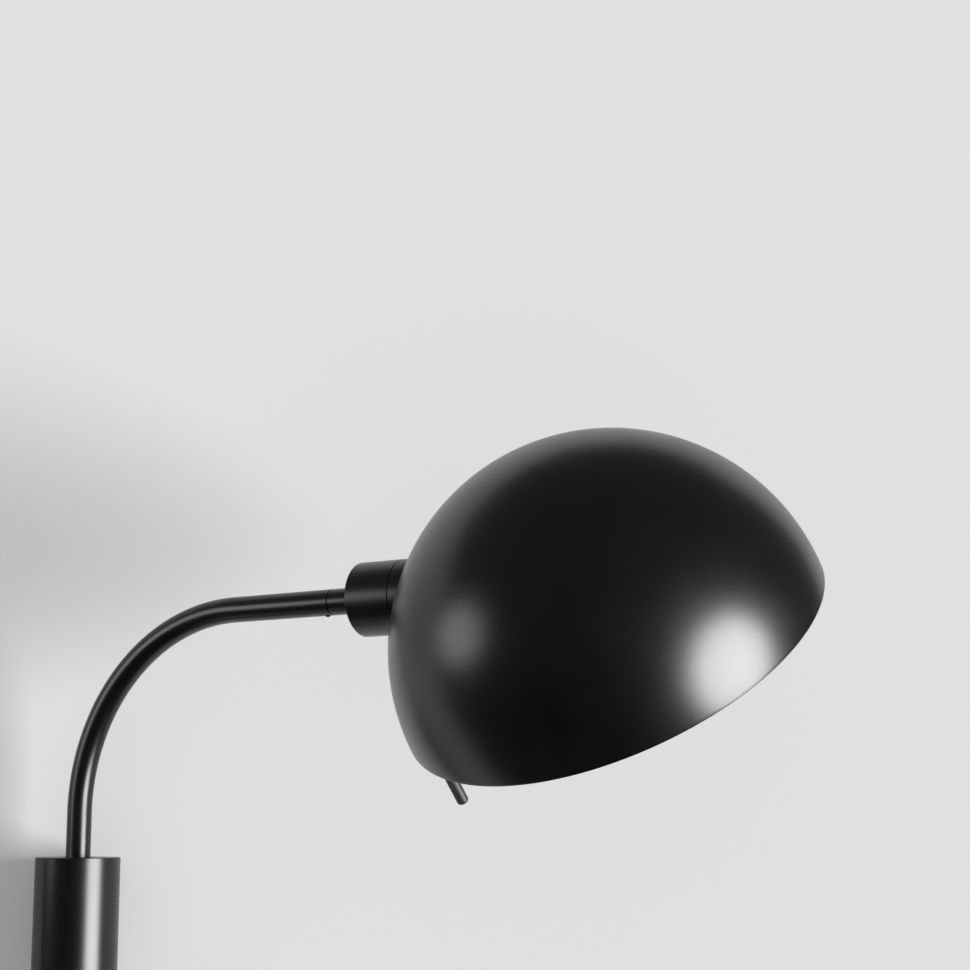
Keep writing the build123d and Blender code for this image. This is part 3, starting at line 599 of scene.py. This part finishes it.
def stage_paint(name, albedo, glow):
    """Matt pale paint with its own even glow, clear from behind."""
    made = bpy.data.materials.new(name)
    made.use_nodes = True
    tree = made.node_tree
    tree.nodes.clear()
    matt = step(tree, "ShaderNodeBsdfDiffuse", {"Color": (albedo, albedo, albedo, 1.0)}).outputs[0]
    even = step(tree, "ShaderNodeEmission", {"Color": (glow, glow, glow, 1.0)}).outputs[0]
    lit = step(tree, "ShaderNodeAddShader", {0: matt, 1: even}).outputs[0]
    behind = step(tree, "ShaderNodeNewGeometry").outputs["Backfacing"]
    clear = step(tree, "ShaderNodeBsdfTransparent").outputs[0]
    both = step(tree, "ShaderNodeMixShader", {0: behind, 1: lit, 2: clear}).outputs[0]
    step(tree, "ShaderNodeOutputMaterial", {"Surface": both})
    return made


wall_albedo = 0.3
ambient = 0.8
key_share = 0.41
wall_glow = pale - key_share - wall_albedo * ambient
wall_paint = stage_paint("wall_paint", wall_albedo, wall_glow)
studio_wall = stage_plane(
    "studio_wall",
    [
        (-studio_side, wall_behind, wall_foot), (studio_side, wall_behind, wall_foot),
        (studio_side, wall_behind, wall_top), (-studio_side, wall_behind, wall_top),
    ],
    wall_paint,
)
studio_wall.visible_glossy = False
lit_left, lit_right, lit_top = -0.9, 0.65, 0.68
lit_wall = stage_plane(
    "lit_wall",
    [
        (lit_left, wall_behind, floor_height), (lit_right, wall_behind, floor_height),
        (lit_right, wall_behind, lit_top), (lit_left, wall_behind, lit_top),
    ],
    wall_paint,
)
lit_wall.visible_camera = False
lit_wall.visible_diffuse = False
lit_wall.visible_transmission = False
lit_wall.visible_shadow = False
studio_floor = stage_plane(
    "studio_floor",
    [
        (-studio_side, floor_front, floor_height), (studio_side, floor_front, floor_height),
        (studio_side, wall_behind, floor_height), (-studio_side, wall_behind, floor_height),
    ],
    stage_paint("floor_paint", wall_albedo, pale - wall_albedo * ambient),
)
studio_floor.visible_shadow = False
studio_floor.visible_glossy = False
studio_floor.visible_diffuse = False

# ---- Light ----
# One large soft lamp low at the right, seen in the paint as the bright patch on the shade, one
# small weak lamp at the left, and an even soft light from the room.
dome = shade_place.to_translation()


def toward_studio(azimuth, elevation):
    """Direction from straight out of the wall, turned to the right and up."""
    return Vector((
        sin(radians(azimuth)) * cos(radians(elevation)),
        -cos(radians(azimuth)) * cos(radians(elevation)),
        sin(radians(elevation)),
    ))


def soft_lamp(name, way, distance, size, radiance, diffuse=False, glossy=True):
    """A round soft lamp of a given brightness, turned to the shade."""
    lamp = bpy.data.lights.new(name, "AREA")
    lamp.shape = "ELLIPSE"
    lamp.size, lamp.size_y = size
    area = size[0] * size[1] * pi / 4
    lamp.energy = radiance * pi * area
    holder = bpy.data.objects.new(name, lamp)
    bpy.context.scene.collection.objects.link(holder)
    holder.rotation_euler = way.to_track_quat("Z", "Y").to_euler()
    holder.location = dome + way * distance
    holder.visible_camera = False
    holder.visible_diffuse = diffuse
    holder.visible_glossy = glossy
    return holder


off_the_wall = bpy.data.collections.new("off_the_wall")
only_the_wall = bpy.data.collections.new("only_the_wall")
for part in (studio_wall, lit_wall):
    off_the_wall.objects.link(part)
    only_the_wall.objects.link(part)
for member in off_the_wall.collection_objects:
    member.light_linking.link_state = "EXCLUDE"

key_way = toward_studio(54.5, -9.5)
key_size = (1.26, 1.2)
key_distance = 1.6
key_shine = soft_lamp("key_shine", key_way, key_distance, key_size, 21.5)
side_shine = soft_lamp("side_shine", toward_studio(-82.0, 5.0), 0.9, (0.42, 0.35), 3.7)
key_fill = soft_lamp("key_fill", key_way, key_distance, key_size, 2.2, diffuse=True, glossy=False)
for lamp in (key_shine, side_shine, key_fill):
    lamp.light_linking.receiver_collection = off_the_wall

sun = bpy.data.lights.new("wall_key", "SUN")
sun.angle = radians(26.0)
wall_way = toward_studio(73.4, -5.5)
sun.energy = key_share * pi / (wall_albedo * -wall_way.y)
wall_key = bpy.data.objects.new("wall_key", sun)
wall_key.rotation_euler = wall_way.to_track_quat("Z", "Y").to_euler()
bpy.context.scene.collection.objects.link(wall_key)
wall_key.light_linking.receiver_collection = only_the_wall

world = bpy.data.worlds.new("studio")
world.use_nodes = True
bpy.context.scene.world = world
tree = world.node_tree
background = tree.nodes["Background"]
rays = step(tree, "ShaderNodeLightPath").outputs
seen = reckon(tree, "MAXIMUM", rays["Is Camera Ray"], rays["Is Transmission Ray"])
room_way = step(tree, "ShaderNodeTexCoord").outputs["Generated"]
up = step(tree, "ShaderNodeSeparateXYZ", {0: room_way}).outputs[2]
room = step(tree, "ShaderNodeMapRange", {
    "Value": up, "From Min": -0.5, "From Max": 0.5, "To Min": 0.03, "To Max": 0.12,
}).outputs[0]
lit = reckon(tree, "MULTIPLY", rays["Is Diffuse Ray"], ambient)
mirrored = reckon(tree, "MULTIPLY", rays["Is Glossy Ray"], room)
shown = reckon(tree, "MULTIPLY", seen, pale)
level = reckon(tree, "MAXIMUM", reckon(tree, "MAXIMUM", lit, mirrored), shown)
tree.links.new(level, background.inputs["Strength"])
background.inputs["Color"].default_value = (1.0, 1.0, 1.0, 1.0)

# ---- Camera ----
# Square to the wall, a little below the arm and tilted up, as the photograph was taken. The
# lens is shifted so that the lamp fills the picture's lower half.
camera_stand = (0.191713, -1.049639, 0.135514)
camera_yaw, camera_tilt, camera_roll = 0.012, 9.521, 0.159
camera = bpy.data.cameras.new("camera")
camera.sensor_width = 36.0
camera.lens = 65.524
camera.shift_x = 0.0722
camera.shift_y = 0.04174
camera.clip_end = 50.0
view = bpy.data.objects.new("camera", camera)
view.matrix_world = (
    Matrix.Translation(camera_stand)
    @ Matrix.Rotation(radians(camera_yaw), 4, "Z")
    @ Matrix.Rotation(radians(90 + camera_tilt), 4, "X")
    @ Matrix.Rotation(radians(camera_roll), 4, "Z")
)
bpy.context.scene.collection.objects.link(view)
bpy.context.scene.camera = view
bpy.context.scene.view_settings.view_transform = "Standard"
